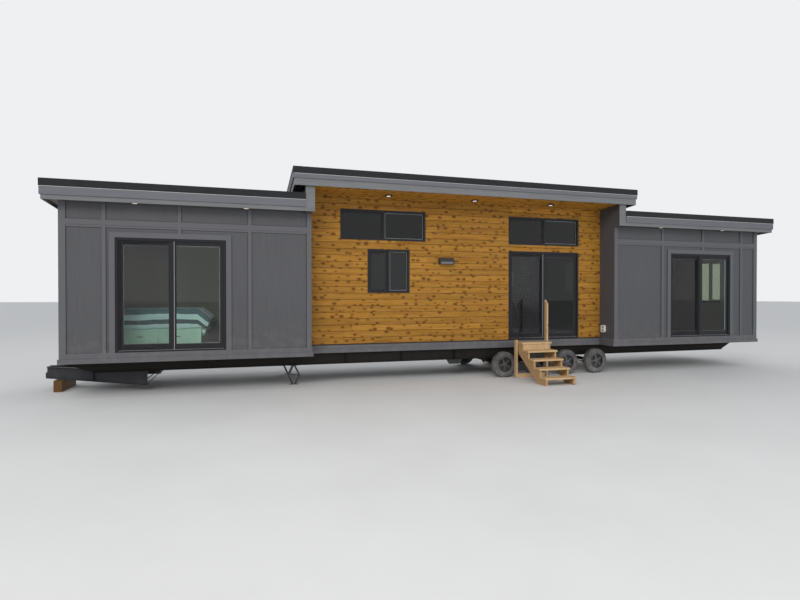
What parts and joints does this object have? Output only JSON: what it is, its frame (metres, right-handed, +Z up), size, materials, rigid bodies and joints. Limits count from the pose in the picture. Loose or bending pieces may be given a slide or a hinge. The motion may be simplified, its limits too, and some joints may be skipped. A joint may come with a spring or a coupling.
{
  "type": "tiny house on wheels",
  "caption": "Long tiny house on a wheeled chassis with two grey panelled wings, a taller recessed cedar centre, sliding glass doors and a timber stair.",
  "frame": {"origin": "on the ground, at the middle of the whole model's length and depth", "axes": "+X along the front from the hitch to the far end, +Y from the front to the back, +Z up"},
  "size_m": [16.485, 3.945, 4.2196],
  "materials": {
    "underfloor": "black underfloor sheet",
    "trim_paint": "grey painted trim boards",
    "panel_paint": "dark grey painted, wood-grained siding panels",
    "cedar": "oiled knotty cedar boards",
    "framing_timber": "framing timber, hidden",
    "roof_membrane": "dark folded roof edge and covering",
    "black_frame": "black extruded frames",
    "clear_glass": "clear double glazing",
    "chassis_steel": "black chassis paint",
    "spring_steel": "black leaf springs",
    "raw_timber": "new sawn timber",
    "light_trim": "dark painted fittings",
    "white_plastic": "white weatherproof plastic",
    "tyre_rubber": "tyre on a black five-spoke rim",
    "bed_paint": "pale green painted bed base",
    "quilt": "striped quilt"
  },
  "bodies": {
    "house": {"floor_platform": "underfloor", "base_trim": "trim_paint", "left_wing_front_wall": "panel_paint", "right_wing_front_wall": "panel_paint", "wing_door_headers": "panel_paint", "centre_front_wall": "cedar", "centre_door_header": "cedar", "left_end_wall": "panel_paint", "right_end_wall": "panel_paint", "back_wall": "panel_paint", "return_walls": "panel_paint", "clerestory_walls": "panel_paint", "roof_cheeks": "panel_paint", "roof_framing": "framing_timber", "wing_roof_coverings": "roof_membrane", "centre_roof_covering": "roof_membrane", "wing_fascias": "trim_paint", "centre_fascia": "trim_paint", "wing_soffits": "panel_paint", "centre_soffit": "cedar", "wing_front_trim": "trim_paint", "back_trim": "trim_paint", "end_trim": "trim_paint", "patio_door_frames": "black_frame", "fixed_door_panels": "black_frame", "fixed_door_glass": "clear_glass", "window_frames": "black_frame", "window_glass": "clear_glass", "chassis_rails": "chassis_steel", "crossmembers": "chassis_steel", "outriggers": "chassis_steel", "hitch_beams": "chassis_steel", "hitch_coupler": "chassis_steel", "support_timbers": "raw_timber", "axles": "chassis_steel", "leaf_springs": "spring_steel", "spring_hangers": "chassis_steel", "stair_stringers": "raw_timber", "stair_treads": "raw_timber", "stair_posts": "raw_timber", "soffit_lights": "light_trim", "wall_hood": "light_trim", "outlet_cover": "white_plastic", "stabiliser_jacks": "chassis_steel", "bed_base": "bed_paint", "bed_quilt": "quilt"},
    "left_wing_panel": {"left_wing_sliding_panel": "black_frame", "left_wing_sliding_glass": "clear_glass"},
    "centre_panel": {"centre_sliding_panel": "black_frame", "centre_sliding_glass": "clear_glass"},
    "right_wing_panel": {"right_wing_sliding_panel": "black_frame", "right_wing_sliding_glass": "clear_glass"},
    "near_wheel_1": {"near_wheel_1": "tyre_rubber"},
    "near_wheel_2": {"near_wheel_2": "tyre_rubber"},
    "near_wheel_3": {"near_wheel_3": "tyre_rubber"},
    "near_wheel_4": {"near_wheel_4": "tyre_rubber"},
    "far_wheel_1": {"far_wheel_1": "tyre_rubber"},
    "far_wheel_2": {"far_wheel_2": "tyre_rubber"},
    "far_wheel_3": {"far_wheel_3": "tyre_rubber"},
    "far_wheel_4": {"far_wheel_4": "tyre_rubber"}
  },
  "joints": [
    {"name": "left_wing_door_slide", "type": "slide", "parent": "house", "child": "left_wing_panel", "axis": [1, 0, 0], "range_m": [0, 0.802]},
    {"name": "centre_door_slide", "type": "slide", "parent": "house", "child": "centre_panel", "axis": [1, 0, 0], "range_m": [0, 0.802]},
    {"name": "right_wing_door_slide", "type": "slide", "parent": "house", "child": "right_wing_panel", "axis": [1, 0, 0], "range_m": [0, 0.802]},
    {"name": "near_wheel_1_spin", "type": "hinge", "parent": "house", "child": "near_wheel_1", "pos_m": [0.9175, -0.6525, 0.28], "axis": [0, 1, 0], "continuous": true},
    {"name": "near_wheel_2_spin", "type": "hinge", "parent": "house", "child": "near_wheel_2", "pos_m": [1.7075, -0.6525, 0.28], "axis": [0, 1, 0], "continuous": true},
    {"name": "near_wheel_3_spin", "type": "hinge", "parent": "house", "child": "near_wheel_3", "pos_m": [2.4975, -0.6525, 0.28], "axis": [0, 1, 0], "continuous": true},
    {"name": "near_wheel_4_spin", "type": "hinge", "parent": "house", "child": "near_wheel_4", "pos_m": [3.2875, -0.6525, 0.28], "axis": [0, 1, 0], "continuous": true},
    {"name": "far_wheel_1_spin", "type": "hinge", "parent": "house", "child": "far_wheel_1", "pos_m": [0.9175, 1.5575, 0.28], "axis": [0, 1, 0], "continuous": true},
    {"name": "far_wheel_2_spin", "type": "hinge", "parent": "house", "child": "far_wheel_2", "pos_m": [1.7075, 1.5575, 0.28], "axis": [0, 1, 0], "continuous": true},
    {"name": "far_wheel_3_spin", "type": "hinge", "parent": "house", "child": "far_wheel_3", "pos_m": [2.4975, 1.5575, 0.28], "axis": [0, 1, 0], "continuous": true},
    {"name": "far_wheel_4_spin", "type": "hinge", "parent": "house", "child": "far_wheel_4", "pos_m": [3.2875, 1.5575, 0.28], "axis": [0, 1, 0], "continuous": true}
  ]
}
